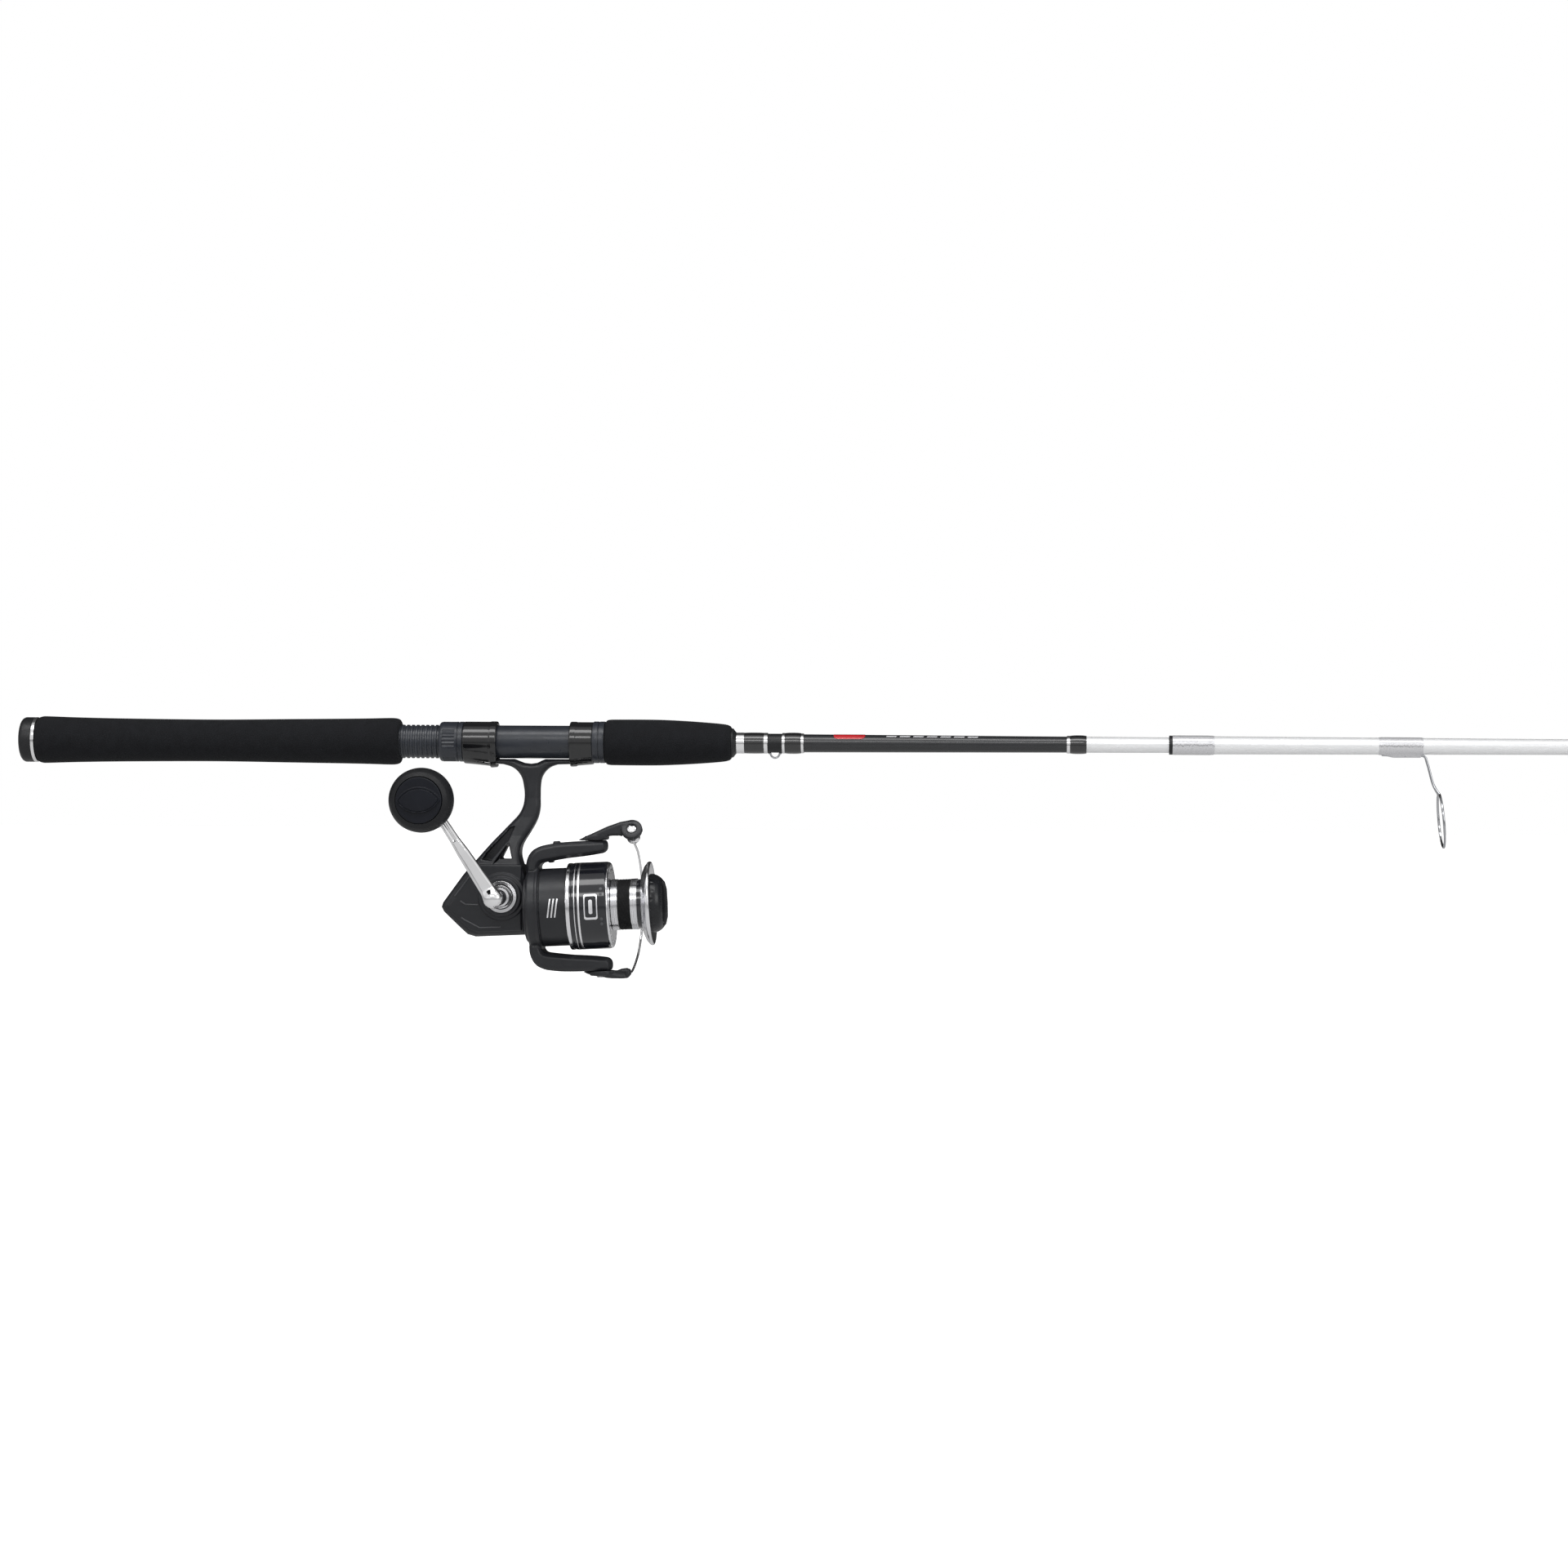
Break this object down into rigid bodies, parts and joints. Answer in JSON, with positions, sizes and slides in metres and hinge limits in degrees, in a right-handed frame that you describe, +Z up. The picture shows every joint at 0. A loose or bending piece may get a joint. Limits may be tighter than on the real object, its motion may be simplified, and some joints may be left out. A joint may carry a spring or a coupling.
{
  "type": "fishing rod and reel",
  "caption": "Two-piece spinning rod with foam grips, wire guides and a fixed-spool reel with handle, rotor, bail and drag knob.",
  "frame": {"origin": "centre of the flat end of the butt cap", "axes": "+X along the rod to its tip, +Z up away from the reel, handle on the -Y side"},
  "size_m": [2.1316, 0.1352, 0.1659],
  "materials": {
    "eva_foam": "closed-cell foam, matte",
    "satin_black": "satin",
    "silver_trim": "satin bright",
    "grey_trim": "satin",
    "blank_dark": "satin clear coat over dark carbon",
    "blank_silver": "gloss clear coat over silver",
    "silver_wrap": "silver thread under clear varnish",
    "gloss_wrap": "black thread under clear varnish",
    "seat_graphite": "satin graphite",
    "gloss_black": "gloss",
    "reel_black": "matte graphite black",
    "spool_black": "gloss anodised",
    "band_rubber": "textured",
    "drag_felt": "felt and steel stack",
    "knob_black": "soft satin",
    "knob_gloss": "gloss",
    "polished_steel": "polished",
    "ring_steel": "polished hard ring",
    "steel": "turned",
    "gear_alloy": "die cast",
    "gear_brass": "machined"
  },
  "bodies": {
    "root": {"butt_cap": "satin_black", "butt_trim_ring": "silver_trim", "rear_grip": "eva_foam", "blank_butt": "blank_dark", "reel_seat_barrel": "seat_graphite", "fixed_hood": "gloss_black", "hood_trim_rings": "grey_trim", "foregrip": "eva_foam", "winding_check": "satin_black", "silver_bands": "silver_trim", "gloss_wraps": "gloss_wrap", "hook_keeper": "polished_steel", "keeper_wrap": "satin_black", "reel_body": "reel_black", "side_cover": "reel_black", "side_cover_screws": "steel", "shaft_collars": "silver_trim", "drive_bearings": "steel", "pinion_bearing": "steel", "anti_reverse_clutch": "steel", "slider_guide_rod": "steel"},
    "hood": {"sliding_hood": "gloss_black"},
    "nut": {"lock_nut": "seat_graphite"},
    "tip_section": {"blank_tip": "blank_silver", "ferrule_ring": "satin_black", "ferrule_wrap": "silver_wrap", "stripper_guide": "polished_steel", "second_guide": "polished_steel", "running_guides": "polished_steel", "guide_rings": "ring_steel", "guide_wraps": "silver_wrap", "tip_top": "polished_steel"},
    "drive": {"drive_gear": "gear_alloy", "oscillation_pinion": "gear_brass", "handle_shank": "gloss_black", "fold_pin": "steel"},
    "arm": {"handle_arm": "polished_steel", "knob_spindle": "steel"},
    "knob": {"handle_knob": "knob_black", "knob_cap": "knob_gloss"},
    "oscillation": {"oscillation_gear": "gear_brass"},
    "rotor": {"rotor": "reel_black", "pinion_gear": "gear_brass", "rotor_nut": "steel", "bail_spring": "steel", "bail_pivot_screws": "steel"},
    "bail": {"bail_arm": "reel_black", "roller_screw": "polished_steel", "bail_wire": "polished_steel", "bail_lever": "reel_black"},
    "line_roller": {"line_roller": "silver_trim"},
    "spool_shaft": {"main_shaft": "steel", "oscillation_slider": "gear_alloy", "click_ring": "satin_black"},
    "spool": {"spool": "spool_black", "spool_trim": "silver_trim", "arbor_band": "band_rubber", "drag_washers": "drag_felt"},
    "drag_knob": {"drag_knob": "knob_gloss"}
  },
  "joints": [
    {"name": "hood_slide", "type": "slide", "parent": "root", "child": "hood", "axis": [-1, 0, 0], "range_m": [0, 0.024]},
    {"name": "nut_turn", "type": "hinge", "parent": "hood", "child": "nut", "pos_m": [0.28, 0, 0], "axis": [-1, 0, 0], "range_deg": [0, 2788]},
    {"name": "ferrule_pull", "type": "slide", "parent": "root", "child": "tip_section", "axis": [1, 0, 0], "range_m": [0, 0.08]},
    {"name": "handle_turn", "type": "hinge", "parent": "root", "child": "drive", "pos_m": [0.31423, 0, -0.09874], "axis": [0, 1, 0], "continuous": true},
    {"name": "handle_fold", "type": "hinge", "parent": "drive", "child": "arm", "pos_m": [0.31423, -0.052, -0.09874], "axis": [0.8309, 0, 0.5564], "range_deg": [0, 90]},
    {"name": "knob_spin", "type": "hinge", "parent": "arm", "child": "knob", "pos_m": [0.27309, -0.08, -0.0373], "axis": [0, 1, 0], "continuous": true},
    {"name": "oscillation_gear_spin", "type": "hinge", "parent": "root", "child": "oscillation", "pos_m": [0.30733, 0.007, -0.11137], "axis": [0, 1, 0], "continuous": true},
    {"name": "rotor_spin", "type": "hinge", "parent": "root", "child": "rotor", "pos_m": [0.33999, 0, -0.10583], "axis": [0.9989, 0, 0.0471], "continuous": true},
    {"name": "bail_open", "type": "hinge", "parent": "rotor", "child": "bail", "pos_m": [0.37495, 0, -0.10418], "axis": [0.0471, 0, -0.9989], "range_deg": [0, 115]},
    {"name": "line_roller_spin", "type": "hinge", "parent": "bail", "child": "line_roller", "pos_m": [0.39644, -0.0056, -0.05672], "axis": [0.024, 0.8601, -0.5095], "continuous": true},
    {"name": "spool_slide", "type": "slide", "parent": "root", "child": "spool_shaft", "axis": [-0.9989, 0, -0.0471], "range_m": [0, 0.016]},
    {"name": "spool_turn", "type": "hinge", "parent": "spool_shaft", "child": "spool", "pos_m": [0.38993, 0, -0.10347], "axis": [0.9989, 0, 0.0471], "continuous": true},
    {"name": "drag_knob_turn", "type": "hinge", "parent": "spool_shaft", "child": "drag_knob", "pos_m": [0.41191, 0, -0.10244], "axis": [0.9989, 0, 0.0471], "range_deg": [-720, 180]}
  ],
  "couplings": [
    {"joint": "nut_turn", "follows": "hood_slide", "rad_per_m": 2026.8},
    {"joint": "rotor_spin", "follows": "handle_turn", "ratio": 5.25},
    {"joint": "oscillation_gear_spin", "follows": "handle_turn", "ratio": -0.5}
  ]
}
